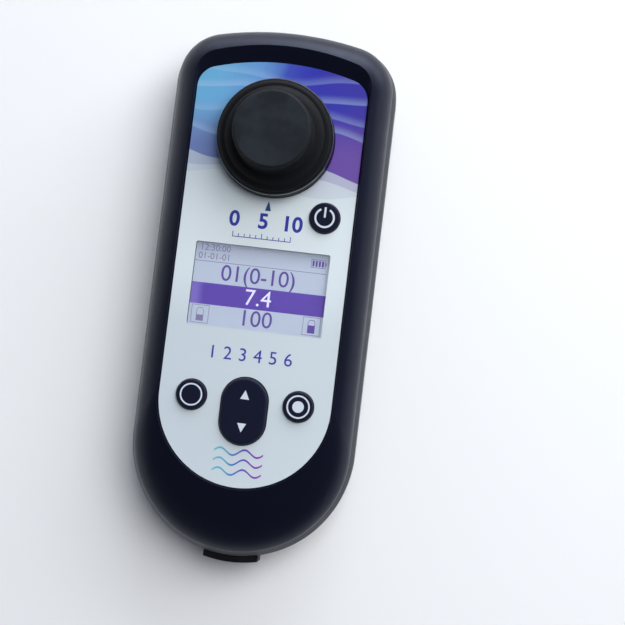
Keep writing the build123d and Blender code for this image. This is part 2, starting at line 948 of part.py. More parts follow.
# Vial chamber and optics
chamber_axis = [(0, chamber_y)]
with BuildPart() as vial_chamber:
    posts(chamber_axis, chamber_outer, floor, collar_top)
    posts(chamber_axis, collar_outer, chamber_flange_low, collar_top)
    posts(chamber_axis, chamber_flange_radius, chamber_flange_low, chamber_flange_top)
    posts(chamber_screw_places, small_post_radius + 1, chamber_flange_low, chamber_flange_top)
    posts(chamber_axis, chamber_radius, chamber_floor_top, collar_top, Mode.SUBTRACT)
    posts(chamber_axis, mouth_radius, collar_top - mouth_depth, collar_top, Mode.SUBTRACT)
    posts(
        chamber_screw_places,
        small_screw_radius + screw_clearance,
        chamber_flange_low,
        chamber_flange_top,
        Mode.SUBTRACT,
    )
    all_angles = [*beam_angles, *[angle + 180 for angle in beam_angles]]
    beam_discs(all_angles, 0, beam_radius, chamber_outer + 1, Mode.SUBTRACT)
    beam_discs(all_angles, chamber_radius + beam_wall, beam_pocket_radius, chamber_wall, Mode.SUBTRACT)

with BuildPart() as chamber_gasket:
    posts(chamber_axis, chamber_flange_radius - 1.5, chamber_flange_top, ceiling)
    posts(chamber_axis, collar_outer + collar_gap, chamber_flange_top, ceiling, Mode.SUBTRACT)

chamber_screws = screws(
    chamber_screw_places,
    chamber_flange_low,
    1,
    small_screw_radius,
    chamber_flange_thickness + chamber_gasket_thickness + 0.6,
)

lens_radius = beam_pocket_radius - lens_clearance
lens_start = chamber_radius + beam_wall
with BuildPart() as beam_windows:
    beam_discs(all_angles, lens_start, lens_radius, lens_thickness)

with BuildPart() as optical_filters:
    far_angles = [angle + 180 for angle in beam_angles]
    beam_discs(far_angles, lens_start + lens_thickness, lens_radius, filter_thickness)

optics_board_top = optics_board_height + board_thickness


def sensor_group(angles, start, length):
    """Round optical parts across the beams, each on a foot that stands on the optics board."""
    foot_start = chamber_outer + 0.8
    with BuildPart() as group:
        beam_discs(angles, start, lens_radius, length)
        for angle in angles:
            with Locations(Location((0, chamber_y, optics_board_top), (0, 0, angle))):
                with Locations((foot_start, 0, 0)):
                    Box(
                        start + length - foot_start,
                        2 * plunger_radius,
                        beam_height - optics_board_top,
                        align=(Align.MIN, Align.CENTER, Align.MIN),
                    )
    return group


light_emitters = sensor_group(beam_angles, lens_start + lens_thickness, lamp_length)
light_detectors = sensor_group(
    [angle + 180 for angle in beam_angles], lens_start + lens_thickness + filter_thickness, detector_length
)

with BuildPart() as optics_board:
    posts(chamber_axis, optics_board_radius, optics_board_height, optics_board_top)
    posts(chamber_axis, chamber_outer + 0.3, optics_board_height, optics_board_top, Mode.SUBTRACT)
    posts(
        optics_screw_places,
        small_screw_radius + screw_clearance,
        optics_board_height,
        optics_board_top,
        Mode.SUBTRACT,
    )

optics_screws = screws(
    optics_screw_places, optics_board_top, -1, small_screw_radius, board_thickness + small_screw_bite
)

optics_edge_y = chamber_y - optics_board_radius
with BuildPart() as optics_flex:
    strip(
        [
            (optics_edge_y + 4.5, optics_board_top),
            (optics_edge_y, optics_board_top),
            (optics_edge_y - 5, optics_board_top + 4),
            (optics_edge_y - 6, board_low - flex_thickness),
            (optics_edge_y - 14, board_low - flex_thickness),
        ],
        flex_thickness,
        optics_flex_x,
        optics_flex_x + 2 * flex_half_width,
        Side.RIGHT,
    )

# Light cap
cap_plane = Plane.XZ.offset(-chamber_y)
cap_axis = Axis((0, chamber_y, 0), (0, 0, 1))
cap_top = face_height + cap_height
cap_rim_top = face_height + cap_rim_height
cap_rim_outer = cap_radius - cap_rim_draft
cap_ring = face_height + cap_ring_height
knob_foot = face_height + knob_foot_height
skirt_radius = mouth_radius - skirt_clearance
skirt_low = collar_top - skirt_reach
seal_low = collar_top - skirt_reach + 1.2
with BuildPart() as cap_shell:
    with BuildSketch(cap_plane):
        with BuildLine():
            bevel = cap_seat_chamfer
            Polyline(
                (cap_bore_radius, skirt_low),
                (skirt_radius, skirt_low),
                (skirt_radius, collar_top),
                (cap_radius - bevel, collar_top),
                (cap_radius, collar_top + bevel),
                (cap_rim_outer, cap_rim_top - cap_rim_radius),
            )
            RadiusArc(
                (cap_rim_outer, cap_rim_top - cap_rim_radius),
                (cap_rim_outer - cap_rim_radius, cap_rim_top),
                -cap_rim_radius,
            )
            # The top rises from the rim to a stepped ring and on to the knob's foot
            ThreePointArc(
                (cap_rim_outer - cap_rim_radius, cap_rim_top),
                ((cap_rim_outer + cap_ring_radius) / 2, (cap_rim_top + cap_ring) / 2 + cap_ring_step),
                (cap_ring_radius, cap_ring),
            )
            Line((cap_ring_radius, cap_ring), (cap_ring_radius - cap_ring_step, cap_ring + cap_ring_step))
            ThreePointArc(
                (cap_ring_radius - cap_ring_step, cap_ring + cap_ring_step),
                ((cap_ring_radius + knob_radius) / 2, knob_foot - 1.4 * knob_fillet),
                (knob_radius + knob_fillet, knob_foot - knob_fillet),
            )
            ThreePointArc(
                (knob_radius + knob_fillet, knob_foot - knob_fillet),
                (knob_radius + 0.35 * knob_fillet, knob_foot - 0.65 * knob_fillet),
                (knob_radius, knob_foot),
            )
            Line((knob_radius, knob_foot), (knob_radius, cap_top - knob_edge_radius))
            RadiusArc(
                (knob_radius, cap_top - knob_edge_radius),
                (knob_radius - knob_edge_radius, cap_top),
                -knob_edge_radius,
            )
            Polyline(
                (knob_radius - knob_edge_radius, cap_top),
                (0, cap_top),
                (0, cap_top - cap_roof),
                (cap_bore_radius, cap_top - cap_roof),
                (cap_bore_radius, skirt_low),
            )
        make_face()
        with Locations((skirt_radius - cap_seal_depth, seal_low)):
            Rectangle(
                cap_seal_depth,
                cap_seal_height,
                align=(Align.MIN, Align.MIN),
                mode=Mode.SUBTRACT,
            )
    revolve(axis=cap_axis)

with BuildPart() as cap_seal:
    with BuildSketch(cap_plane):
        with Locations((skirt_radius - cap_seal_depth, seal_low)):
            Rectangle(
                cap_seal_depth + skirt_clearance - cap_seal_clearance,
                cap_seal_height,
                align=(Align.MIN, Align.MIN),
            )
    revolve(axis=cap_axis)

# Charging and data socket
socket_low = socket_board_height + board_thickness
socket_mouth = -rear_bottom - socket_inset
with BuildPart() as usb_port:
    with BuildSketch(Plane.XZ.offset(socket_mouth)) as socket_case:
        with Locations((0, socket_middle)):
            RectangleRounded(socket_width, socket_height, socket_height / 2 - 0.01)
    extrude(socket_case.sketch, amount=-socket_length)
    with BuildSketch(Plane.XZ.offset(socket_mouth)) as socket_bore:
        with Locations((0, socket_middle)):
            RectangleRounded(
                socket_width - 2 * socket_wall,
                socket_height - 2 * socket_wall,
                socket_height / 2 - socket_wall - 0.01,
            )
            Rectangle(socket_width * 0.72, 0.7, mode=Mode.SUBTRACT)
    extrude(socket_bore.sketch, amount=0.8 - socket_length, mode=Mode.SUBTRACT)

socket_board_low_y = body_bottom + wall + 2.0
with BuildPart() as port_board:
    block(
        (-socket_board_half_width, socket_board_half_width),
        (socket_board_low_y, socket_board_low_y + socket_board_length),
        (socket_board_height, socket_low),
    )
    posts(
        socket_screw_places,
        small_screw_radius + screw_clearance,
        socket_board_height,
        socket_low,
        Mode.SUBTRACT,
    )

port_screws = screws(
    socket_screw_places, socket_low, -1, small_screw_radius, board_thickness + small_screw_bite
)

with BuildPart() as port_flex:
    strip(
        [
            (socket_board_low_y + socket_board_length - 3.5, socket_low),
            (tub_low_y - 6, socket_low),
            (tub_low_y - tub_wall - 3, tub_top + 1),
            (board_bottom, board_low - flex_thickness),
            (board_bottom + 7, board_low - flex_thickness),
        ],
        flex_thickness,
        flex_half_width,
        3 * flex_half_width,
    )

# Port cover: a curved rubber flap round the lower end, with an anchor above its hinge line


with BuildPart() as port_cover:
    curved_strap(flap_inner, flap_inner + cover_thickness, cover_half_width, cover_low, cover_high)
    # Shallow rib that fills the mouth of the socket's opening
    with BuildSketch(Plane.XZ.offset(-rear_arc_y + flap_inner - cover_plug_depth)) as plug:
        with Locations((0, socket_middle)):
            SlotOverall(socket_width - 2 * cover_plug_gap, socket_height - 2 * cover_plug_gap)
    extrude(plug.sketch, amount=cover_plug_depth + 0.4)
    # Finger lip along the lower edge
    curved_strap(
        flap_inner + cover_thickness - 0.2,
        flap_inner + cover_thickness + cover_lip,
        cover_half_width,
        cover_low,
        cover_low + 1.6,
    )

with BuildPart() as cover_anchor:
    curved_strap(anchor_inner, rear_half_width, anchor_half_width, cover_high + anchor_gap, anchor_high)

for name, piece in (
    ("front_shell", front_shell),
    ("rear_shell", rear_shell),
    ("shell_gasket", shell_gasket),
    ("shell_screws", shell_screws),
    ("face_label", face_label),
    ("display_window", display_window),
    ("lcd_glass", lcd_glass),
    ("backlight_panel", backlight_panel),
    ("lcd_bezel", lcd_bezel),
    ("display_flex", display_flex),
    ("main_board", main_board),
    ("board_screws", board_screws),
    ("board_chips", board_chips),
    ("radio_module", radio_module),
    ("buzzer", buzzer),
    ("clock_cell", clock_cell),
    ("clock_cell_clip", clock_cell_clip),
    ("snap_domes", snap_domes),
    ("power_key", make_key(key_places["power_key"])),
    ("left_key", make_key(key_places["left_key"])),
    ("right_key", make_key(key_places["right_key"])),
    ("rocker_key", rocker_key),
    ("rocker_pin", rocker_pin),
    ("vial_chamber", vial_chamber),
    ("chamber_gasket", chamber_gasket),
    ("chamber_screws", chamber_screws),
    ("beam_windows", beam_windows),
    ("optical_filters", optical_filters),
    ("light_emitters", light_emitters),
    ("light_detectors", light_detectors),
    ("optics_board", optics_board),
    ("optics_screws", optics_screws),
    ("optics_flex", optics_flex),
    ("cap_shell", cap_shell),
    ("cap_seal", cap_seal),
    ("battery_door", battery_door),
    ("door_gasket", door_gasket),
    ("door_screws", door_screws),
    ("aa_cells", aa_cells),
    ("contact_plates", contact_plates),
    ("contact_springs", contact_springs),
    ("usb_port", usb_port),
    ("port_board", port_board),
    ("port_screws", port_screws),
    ("port_flex", port_flex),
    ("port_cover", port_cover),
    ("cover_anchor", cover_anchor),
):
    save(name, piece)
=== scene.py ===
import json
import math

import bmesh
import bpy
from mathutils import Euler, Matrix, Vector


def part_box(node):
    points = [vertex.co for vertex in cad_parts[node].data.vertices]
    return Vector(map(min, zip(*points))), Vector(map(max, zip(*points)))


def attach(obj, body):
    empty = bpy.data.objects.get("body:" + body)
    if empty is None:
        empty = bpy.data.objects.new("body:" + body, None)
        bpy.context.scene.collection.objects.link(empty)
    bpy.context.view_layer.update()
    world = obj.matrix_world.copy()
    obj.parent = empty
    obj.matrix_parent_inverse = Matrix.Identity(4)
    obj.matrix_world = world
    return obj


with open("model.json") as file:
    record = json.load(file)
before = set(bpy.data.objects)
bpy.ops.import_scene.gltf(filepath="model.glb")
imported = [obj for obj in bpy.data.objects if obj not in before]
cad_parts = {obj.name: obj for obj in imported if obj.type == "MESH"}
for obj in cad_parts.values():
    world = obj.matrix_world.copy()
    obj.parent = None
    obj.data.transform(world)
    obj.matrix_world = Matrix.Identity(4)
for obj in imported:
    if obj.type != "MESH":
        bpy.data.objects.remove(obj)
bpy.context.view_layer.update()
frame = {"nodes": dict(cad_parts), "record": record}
nodes = frame["nodes"]
mm = 0.001
print("frame loaded:", len(nodes), "nodes")

# Places that several pieces share, all read from the frame
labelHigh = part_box("face_label")[1]
faceZ = labelHigh.z  # printed face of the label
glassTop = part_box("lcd_glass")[1].z
capLow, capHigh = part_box("cap_shell")
capCentre = (capLow + capHigh) / 2
capRadius = (capHigh.x - capLow.x) / 2
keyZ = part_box("power_key")[1].z


def middleOf(node):
    low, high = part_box(node)
    return (low + high) / 2


# Shader maths: a wrapped socket that adds its own nodes
class Wire:
    def __init__(self, kit, socket):
        self.kit = kit
        self.socket = socket

    def sum(self, operation, other, flip=False):
        a, b = (other, self) if flip else (self, other)
        return self.kit.node("ShaderNodeMath", {"operation": operation}, {0: a, 1: b})

    def __add__(self, other):
        return self.sum("ADD", other)

    def __radd__(self, other):
        return self.sum("ADD", other, True)

    def __sub__(self, other):
        return self.sum("SUBTRACT", other)

    def __rsub__(self, other):
        return self.sum("SUBTRACT", other, True)

    def __mul__(self, other):
        return self.sum("MULTIPLY", other)

    def __rmul__(self, other):
        return self.sum("MULTIPLY", other, True)

    def __truediv__(self, other):
        return self.sum("DIVIDE", other)


class Shading:  # a node tree and the ways to fill it
    def __init__(self, tree, coordinates):
        self.tree = tree
        self.place = self.node("ShaderNodeTexCoord", {}, {}, coordinates)

    def node(self, kind, settings, inputs, output=0):
        made = self.tree.nodes.new(kind)
        stops = settings.pop("stops", None)
        for key, value in settings.items():
            setattr(made, key, value)
        if stops:
            ramp = made.color_ramp
            while len(ramp.elements) < len(stops):
                ramp.elements.new(0.5)
            for element, (position, colour) in zip(ramp.elements, stops):
                element.position = position
                element.color = (*colour, 1)
        for key, value in inputs.items():
            if isinstance(value, Wire):
                self.tree.links.new(value.socket, made.inputs[key])
            else:
                made.inputs[key].default_value = value
        return Wire(self, made.outputs[output])

    def noise(self, size, detail=3.0, roughness=0.55, offset=0.0):  # size of one patch in metres
        shift = (offset, offset, offset)
        where = self.node("ShaderNodeVectorMath", {"operation": "ADD"}, {0: self.place, 1: shift})
        inputs = {"Vector": where, "Scale": 1 / size, "Detail": detail, "Roughness": roughness}
        return self.node("ShaderNodeTexNoise", {}, inputs, "Fac")

    def axis(self, name):
        return self.node("ShaderNodeSeparateXYZ", {}, {"Vector": self.place}, name)

    def step(self, value, low, high):  # smooth 0 to 1
        settings = {"interpolation_type": "SMOOTHSTEP"}
        inputs = {"Value": value, "From Min": low, "From Max": high}
        return self.node("ShaderNodeMapRange", settings, inputs)

    def mix(self, factor, a, b):
        first, second = [c if isinstance(c, Wire) else (*c, 1) for c in (a, b)]
        return self.node("ShaderNodeMix", {"data_type": "RGBA"}, {0: factor, 6: first, 7: second}, 2)

    def seenRay(self):  # 1 where the camera, a reflection or glass looks, 0 for the light itself
        ray = lambda output: self.node("ShaderNodeLightPath", {}, {}, output)
        seen = ray("Is Camera Ray") + ray("Is Glossy Ray") + ray("Is Transmission Ray")
        return self.node("ShaderNodeMath", {"operation": "MINIMUM"}, {0: seen, 1: 1.0})


class Finish(Shading):  # one material
    def __init__(self, name):
        self.material = bpy.data.materials.new(name)
        self.material.use_nodes = True
        self.shader = self.material.node_tree.nodes["Principled BSDF"]
        super().__init__(self.material.node_tree, "Object")

    def set(self, **values):
        for key, value in values.items():
            socket = self.shader.inputs[key.replace("_", " ")]
            if isinstance(value, Wire):
                self.tree.links.new(value.socket, socket)
            elif isinstance(value, tuple):
                socket.default_value = (*value, 1)
            else:
                socket.default_value = value
        return self

    def rubbedPatches(self):  # 1 where use has smoothed the surface
        return self.step(self.noise(0.011, 4, 0.6, 3.0), 0.48, 0.72)

    def bump(self, height, depth, strength=1.0):
        inputs = {"Strength": strength, "Distance": depth, "Height": height}
        return self.set(Normal=self.node("ShaderNodeBump", {}, inputs, "Normal"))


white = (1.0, 1.0, 1.0)


def mouldedPlastic(name, base, rubbed, rough, grain=0.00028, depth=0.000012, tint=white, shine=0.5):
    made = Finish(name)
    made.set(Specular_Tint=tint, Specular_IOR_Level=shine)
    soft = made.noise(0.03, 2)
    fine = made.noise(grain, 2, 0.6)
    handled = made.rubbedPatches()
    made.set(
        Base_Color=made.mix(handled * 0.35, made.mix(soft, base, tuple(c * 1.12 for c in base)), rubbed),
        Roughness=rough + (fine - 0.5) * 0.10 - handled * 0.05,
    )
    return made.bump(fine, depth).material


shell = {
    "base": (0.0030, 0.0036, 0.0102),
    "rubbed": (0.0044, 0.0053, 0.0136),
    "rough": 0.38,
    "tint": (0.70, 0.78, 1.0),
    "shine": 0.34,
}
capLook = {
    "base": (0.0062, 0.0068, 0.0082),
    "rubbed": (0.0090, 0.0102, 0.0122),
    "top": (0.0225, 0.0272, 0.0335),  # the flat of the knob, painted lighter as if lit from above
    # topShade and top together make patches of painted reflection on that flat
    "topShade": (0.0150, 0.0184, 0.0228),
    "rough": 0.50,
    "shine": 0.10,
    "rimGloss": 1.0,
    "rimDepth": 0.9 * mm,
    "rimHeight": 7.5 * mm,
    "paintedRimShadow": (0.001, 0.001, 0.0015),  # painted shadow on the wall below the glossy edge of the rim
    "rimFade": (1.9 * mm, 1.2 * mm),  # how far below the rim's top that wall begins
    "flatFade": (0.3 * mm, 0.08 * mm),  # how far below the knob's top its painted lighter flat begins
}
keyLook = {"base": (0.0052, 0.0070, 0.0205), "rubbed": (0.0072, 0.0092, 0.025), "rough": 0.48, "shine": 0.3}
shellNavy = mouldedPlastic("shellNavy", **shell)


def capPlastic():
    made = Finish("capBlack")
    look = capLook
    x, y = made.axis("X") - capCentre.x, made.axis("Y") - capCentre.y
    radius = made.node("ShaderNodeMath", {"operation": "SQRT"}, {0: x * x + y * y})
    fine, soft = made.noise(0.0002, 2, 0.6), made.noise(0.009, 3)
    handled = made.rubbedPatches()
    # Painted light: the knob's flat is painted lighter than the sides, in patches of painted reflection
    top = made.step(made.axis("Z"), *[capHigh.z - depth for depth in look["flatFade"]])
    body = made.mix(handled * 0.35, look["base"], look["rubbed"])
    colour = made.mix(top, body, made.mix(made.step(soft, 0.35, 0.65), look["topShade"], look["top"]))
    made.set(Specular_IOR_Level=look["shine"], Coat_Roughness=0.16)
    made.set(Roughness=look["rough"] + (fine - 0.5) * 0.10 - handled * 0.05)
    rim = made.step(radius, capRadius - look["rimDepth"], capRadius - look["rimDepth"] * 0.6)
    rimTop = faceZ + look["rimHeight"]
    high = made.step(made.axis("Z"), *[rimTop - depth for depth in look["rimFade"]])
    # Painted shadow on the rim's wall below its glossy edge
    colour = made.mix(rim * (1 - high) * 0.8, colour, look["paintedRimShadow"])
    made.set(Base_Color=colour, Coat_Weight=rim * high * look["rimGloss"])
    return made.bump(fine, 0.000006).material


capBlack = capPlastic()
keyDark = mouldedPlastic("keyDark", **keyLook, grain=0.00016, depth=0.000004)
innerBlack = mouldedPlastic("innerBlack", (0.012, 0.012, 0.014), (0.016, 0.016, 0.018), 0.5)


def rubberBlack():
    made = Finish("rubberBlack")
    fine = made.noise(0.00035, 3, 0.6)
    dust = made.step(made.noise(0.006, 5, 0.65), 0.45, 0.8)
    colour = made.mix(dust * 0.5, (0.006, 0.006, 0.007), (0.016, 0.016, 0.018))
    made.set(Base_Color=colour, Roughness=0.62 - dust * 0.08)
    return made.bump(fine, 0.00002).material


def sealSilicone():
    made = Finish("sealSilicone")
    fine = made.noise(0.0009, 3)
    colour = made.mix(fine, (0.24, 0.045, 0.03), (0.30, 0.06, 0.04))
    made.set(Base_Color=colour, Roughness=0.55 + fine * 0.08)
    return made.bump(fine, 0.00001).material


def brightSteel():
    made = Finish("brightSteel")
    turned = made.noise(0.00025, 2)
    smudge = made.noise(0.002, 4)
    made.set(Base_Color=made.mix(smudge, (0.50, 0.50, 0.51), (0.62, 0.62, 0.63)), Metallic=1.0)
    made.set(Roughness=0.26 + turned * 0.14)
    return made.bump(turned, 0.000004).material


def plainFinish(name, dark, light, rough, metal=0.0, patch=0.003):
    made = Finish(name)
    cloud = made.noise(patch, 4)
    made.set(Base_Color=made.mix(cloud, dark, light), Roughness=rough + (cloud - 0.5) * 0.1, Metallic=metal)
    return made.bump(made.noise(patch * 0.1, 2, 0.5, 1.0), 0.000006).material


rubber = rubberBlack()
silicone = sealSilicone()
steel = brightSteel()
brass = plainFinish("springBrass", (0.52, 0.36, 0.14), (0.66, 0.48, 0.2), 0.3, 1.0)
boardGreen = plainFinish("boardGreen", (0.012, 0.10, 0.045), (0.018, 0.14, 0.06), 0.38)
filmAmber = plainFinish("filmAmber", (0.36, 0.13, 0.02), (0.44, 0.18, 0.03), 0.3)
panelWhite = plainFinish("panelWhite", (0.68, 0.70, 0.74), (0.76, 0.78, 0.80), 0.45)
cellJacket = plainFinish("cellJacket", (0.03, 0.10, 0.22), (0.05, 0.14, 0.28), 0.3)
filterViolet = plainFinish("filterViolet", (0.14, 0.06, 0.3), (0.2, 0.1, 0.42), 0.15)


# Face label: pale print with a band of colour that flows round the vial well
labelLook = {
    "ground": (0.605, 0.680, 0.725),
    # the colour below is the ground under painted shade
    "paintedShade": (0.555, 0.635, 0.690),
    "paintedSheen": (0.71, 0.79, 0.825),  # painted sheen: the print is painted lightest beside the display
    "hues": [
        (0.0, (0.13, 0.38, 0.62)),
        (0.3, (0.12, 0.28, 0.58)),
        (0.56, (0.045, 0.07, 0.42)),
        (0.78, (0.03, 0.034, 0.38)),
        (1.0, (0.045, 0.036, 0.33)),
    ],
    "periwinkle": (0.15, 0.18, 0.42),
    "violet": (0.18, 0.09, 0.34),
    "foam": (0.42, 0.58, 0.74),
    "crests": [  # level and lift in mm, shift of the wave, strength of its pale line
        (57.5, 2.4, 0.0, 0.30),
        (65.5, 2.0, 1.7, 0.22),
        (72.0, 1.7, 3.1, 0.30),
        (78.0, 1.5, 4.4, 0.2),
    ],
    "leftEdge": 49.5 * mm,
    "rightEdge": 44.5 * mm,
    "swing": 2.3 * mm,
    "softEdge": 0.12 * mm,
    "veil": 4.2 * mm,  # depth of the pale wave below the inked edge
    "crestLength": 10.5 * mm,  # a wave's length over 2 pi
    "broadWave": (9.2 * mm, 0.9),  # that length, then the wave's shift
    "shortWave": (4.7 * mm, 2.2, 20.0),  # the same, then its tilt
    "veilWave": (6.1 * mm, 4.0),
    "faintWave": (8.3 * mm, 3.0),
    "lowBand": (70 * mm, 50 * mm),  # where the hues turn softer towards the display
    "sheenTop": (46 * mm, 24 * mm),
    "sheenFoot": (-18 * mm, 8 * mm),
}


def printedFace():
    made = Finish("printedFace")
    look = labelLook
    x, y = made.axis("X"), made.axis("Y")
    halfWidth = labelHigh.x
    across = made.step(x, -halfWidth, halfWidth)
    cloud = made.noise(0.02, 4, 0.55, 2.0)

    def wave(length, shift, tilt=0.0):
        return made.node("ShaderNodeMath", {"operation": "SINE"}, {0: x / length + y * tilt + shift})

    broad, short = wave(*look["broadWave"]), wave(*look["shortWave"])
    hue = made.node("ShaderNodeValToRGB", {"stops": look["hues"]}, {"Fac": across + (cloud - 0.5) * 0.35})
    low = made.step(y, *look["lowBand"])
    layers = made.mix(low * (1 - across) * 0.85, hue, look["periwinkle"])
    layers = made.mix(low * across * 0.7, layers, look["violet"])
    # Each crest is a soft step in colour with a thin pale line along it
    for level, lift, shift, depth in look["crests"]:
        height = y - wave(look["crestLength"], shift) * (lift * mm) - short * (0.5 * mm)
        above = made.step(height, (level - 0.1) * mm, (level + 3.4) * mm)
        line = made.step(height, (level - 0.32) * mm, (level - 0.02) * mm)
        layers = made.mix((line - above) * depth, layers, look["foam"])
    edge = made.step(x, -halfWidth, halfWidth) * (look["rightEdge"] - look["leftEdge"]) + look["leftEdge"]
    swing, soft = look["swing"], look["softEdge"]
    height = y - edge - broad * swing - short * (swing * 0.3)
    inked = made.step(height, -soft, soft)
    second = y - edge + look["veil"] - broad * (swing * 0.8) - wave(*look["veilWave"]) * (swing * 0.5)
    veil = made.step(second, -soft, soft) * 0.3
    third = y - edge + look["veil"] * 1.9 - wave(*look["faintWave"]) * (swing * 0.9)
    faintVeil = made.step(third, -soft, soft) * 0.13
    # Painted shade: the print darkens towards the left side
    paintedShadeSide = made.step(x, halfWidth * 0.6, -halfWidth)
    ground = made.mix(paintedShadeSide * 0.5, look["ground"], look["paintedShade"])
    # Painted sheen: the print is painted lighter between these heights
    middle = made.step(y, *look["sheenTop"]) * made.step(y, *look["sheenFoot"])
    ground = made.mix(middle, ground, look["paintedSheen"])
    ground = made.mix(faintVeil, ground, layers)
    ground = made.mix(veil, ground, layers)
    made.set(Base_Color=made.mix(inked, ground, layers), Roughness=0.34 + made.noise(0.0004, 2) * 0.1)
    return made.bump(made.noise(0.00022, 2), 0.000004).material


labelPrint = printedFace()


def inkFinish(name, colour, rough=0.4, glow=0.0):
    made = Finish(name)
    wear = made.noise(0.0007, 3)
    worn = tuple(c * 0.9 for c in colour)
    made.set(Base_Color=made.mix(wear * 0.4, colour, worn), Roughness=rough + wear * 0.08)
    if glow:
        made.set(Emission_Color=colour, Emission_Strength=glow)
    return made.material


markWhite = inkFinish("markWhite", (0.64, 0.70, 0.78))
inkBlue = inkFinish("inkBlue", (0.035, 0.045, 0.35))
inkArrow = inkFinish("inkArrow", (0.02, 0.07, 0.20))


# Display: a pale backlit field with violet figures, seen through a clear window
displayLook = {
    "field": (0.37, 0.43, 0.54),
    "fieldShade": (0.29, 0.335, 0.43),
    "bar": (0.074, 0.037, 0.30),
    "barPale": (0.16, 0.125, 0.43),
    "figure": (0.075, 0.045, 0.25),
    "faint": (0.15, 0.14, 0.27),
    "glow": 0.55,
    "column": 0.22 * mm,  # pitch of the faint columns in the field
    "topShade": (14.5 * mm, 8 * mm),  # painted shade: the field darkens towards its upper edge, under the edge of the opening
    "barFade": (-19.5 * mm, -23.5 * mm),  # the left end of the bar is paler
}


def displayField():
    made = Finish("displayField")
    look = displayLook
    y, x = made.axis("Y"), made.axis("X")
    columns = made.node("ShaderNodeMath", {"operation": "SINE"}, {0: x / (look["column"] / (2 * math.pi))})
    # Painted shade along the upper edge of the field
    rim = made.step(y, *look["topShade"])
    pale = made.mix(rim, look["fieldShade"], look["field"])
    colour = made.mix(made.noise(0.012, 3) * 0.3 + columns * 0.02, pale, look["fieldShade"])
    made.set(Base_Color=colour, Roughness=0.5, Emission_Color=colour, Emission_Strength=look["glow"])
    return made.material


def displayBar():
    made = Finish("displayBar")
    look = displayLook
    x = made.axis("X")
    worn = made.step(x, *look["barFade"])
    colour = made.mix(worn * 0.8, look["bar"], look["barPale"])
    made.set(Base_Color=colour, Roughness=0.5, Emission_Color=colour, Emission_Strength=look["glow"])
    return made.material


fieldPale = displayField()
barViolet = displayBar()
figureViolet = inkFinish("figureViolet", displayLook["figure"], 0.5, displayLook["glow"])
figureFaint = inkFinish("figureFaint", displayLook["faint"], 0.5, displayLook["glow"])
figureWhite = inkFinish("figureWhite", (0.62, 0.63, 0.80), 0.5, displayLook["glow"])


def clearWindow(name, tint=(1.0, 1.0, 1.0)):
    made = Finish(name)
    film = made.noise(0.004, 3)
    made.set(Base_Color=tint, Transmission_Weight=1.0, IOR=1.2, Roughness=0.02 + film * 0.02)
    return made.material


windowClear = clearWindow("windowClear")
lensClear = clearWindow("lensClear", (0.85, 0.92, 1.0))
print("finishes made")

finishOf = {
    "navy_shell": shellNavy,
    "face_print": labelPrint,
    "clear_window": windowClear,
    "display_glass": fieldPale,
    "black_plastic": capBlack,
    "key_rubber": keyDark,
    "black_rubber": rubber,
    "seal_silicone": silicone,
    "bright_steel": steel,
    "spring_brass": brass,
    "green_board": boardGreen,
    "chip_black": innerBlack,
    "lens_glass": lensClear,
    "filter_glass": filterViolet,
    "white_panel": panelWhite,
    "amber_film": filmAmber,
    "cell_jacket": cellJacket,
}
for row in frame["record"]["subparts"]:
    nodes[row["node"]].data.materials.clear()
    nodes[row["node"]].data.materials.append(finishOf[row["material_slot"]])
print("finishes given to the carried-over nodes")


# Flat prints: thin plates cut from outlines, laid on the surface that carries them
def plateOf(name, loops, z, thickness, material, body, slotName):
    mesh = bpy.data.meshes.new(name)
    made = bmesh.new()
    for loop in loops:
        low = [made.verts.new((x, y, z)) for x, y in loop]
        high = [made.verts.new((x, y, z + thickness)) for x, y in loop]
        made.faces.new(low[::-1])
        made.faces.new(high)
        for i in range(len(loop)):
            j = (i + 1) % len(loop)
            made.faces.new((low[i], low[j], high[j], high[i]))
    return finished(name, mesh, made, material, body)


# Each ring is its centre, its inner and outer radius, and its start and end in degrees
def ringOf(name, rings, z, thickness, material, body):
    mesh = bpy.data.meshes.new(name)
    made = bmesh.new()
    for centre, inner, outer, start, end in rings:
        whole = end - start >= 360
        steps = max(12, int((end - start) / 4))
        rows = []
        for i in range(steps if whole else steps + 1):
            a = math.radians(start + (end - start) * i / steps)
            point = [(centre[0] + r * math.cos(a), centre[1] + r * math.sin(a)) for r in (inner, outer)]
            rows.append([made.verts.new((x, y, h)) for x, y in point for h in (z, z + thickness)])
        pairs = list(zip(rows, rows[1:])) + ([(rows[-1], rows[0])] if whole else [])
        for a, b in pairs:
            for i, j in ((0, 1), (1, 3), (3, 2), (2, 0)):
                made.faces.new((a[i], a[j], b[j], b[i]))
        if not whole:
            made.faces.new((rows[0][0], rows[0][2], rows[0][3], rows[0][1]))
            made.faces.new((rows[-1][0], rows[-1][1], rows[-1][3], rows[-1][2]))
    return finished(name, mesh, made, material, body)


def finished(name, mesh, made, material, body):
    bmesh.ops.recalc_face_normals(made, faces=made.faces)
    made.to_mesh(mesh)
    made.free()
    piece = bpy.data.objects.new(name, mesh)
    bpy.context.scene.collection.objects.link(piece)
    mesh.materials.append(material)
    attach(piece, body)
    return piece


def discLoop(centre, radius, steps=64):
    turns = [2 * math.pi * i / steps for i in range(steps)]
    return [(centre[0] + radius * math.cos(t), centre[1] + radius * math.sin(t)) for t in turns]


def boxLoop(x0, y0, x1, y1):
    return [(x0, y0), (x1, y0), (x1, y1), (x0, y1)]


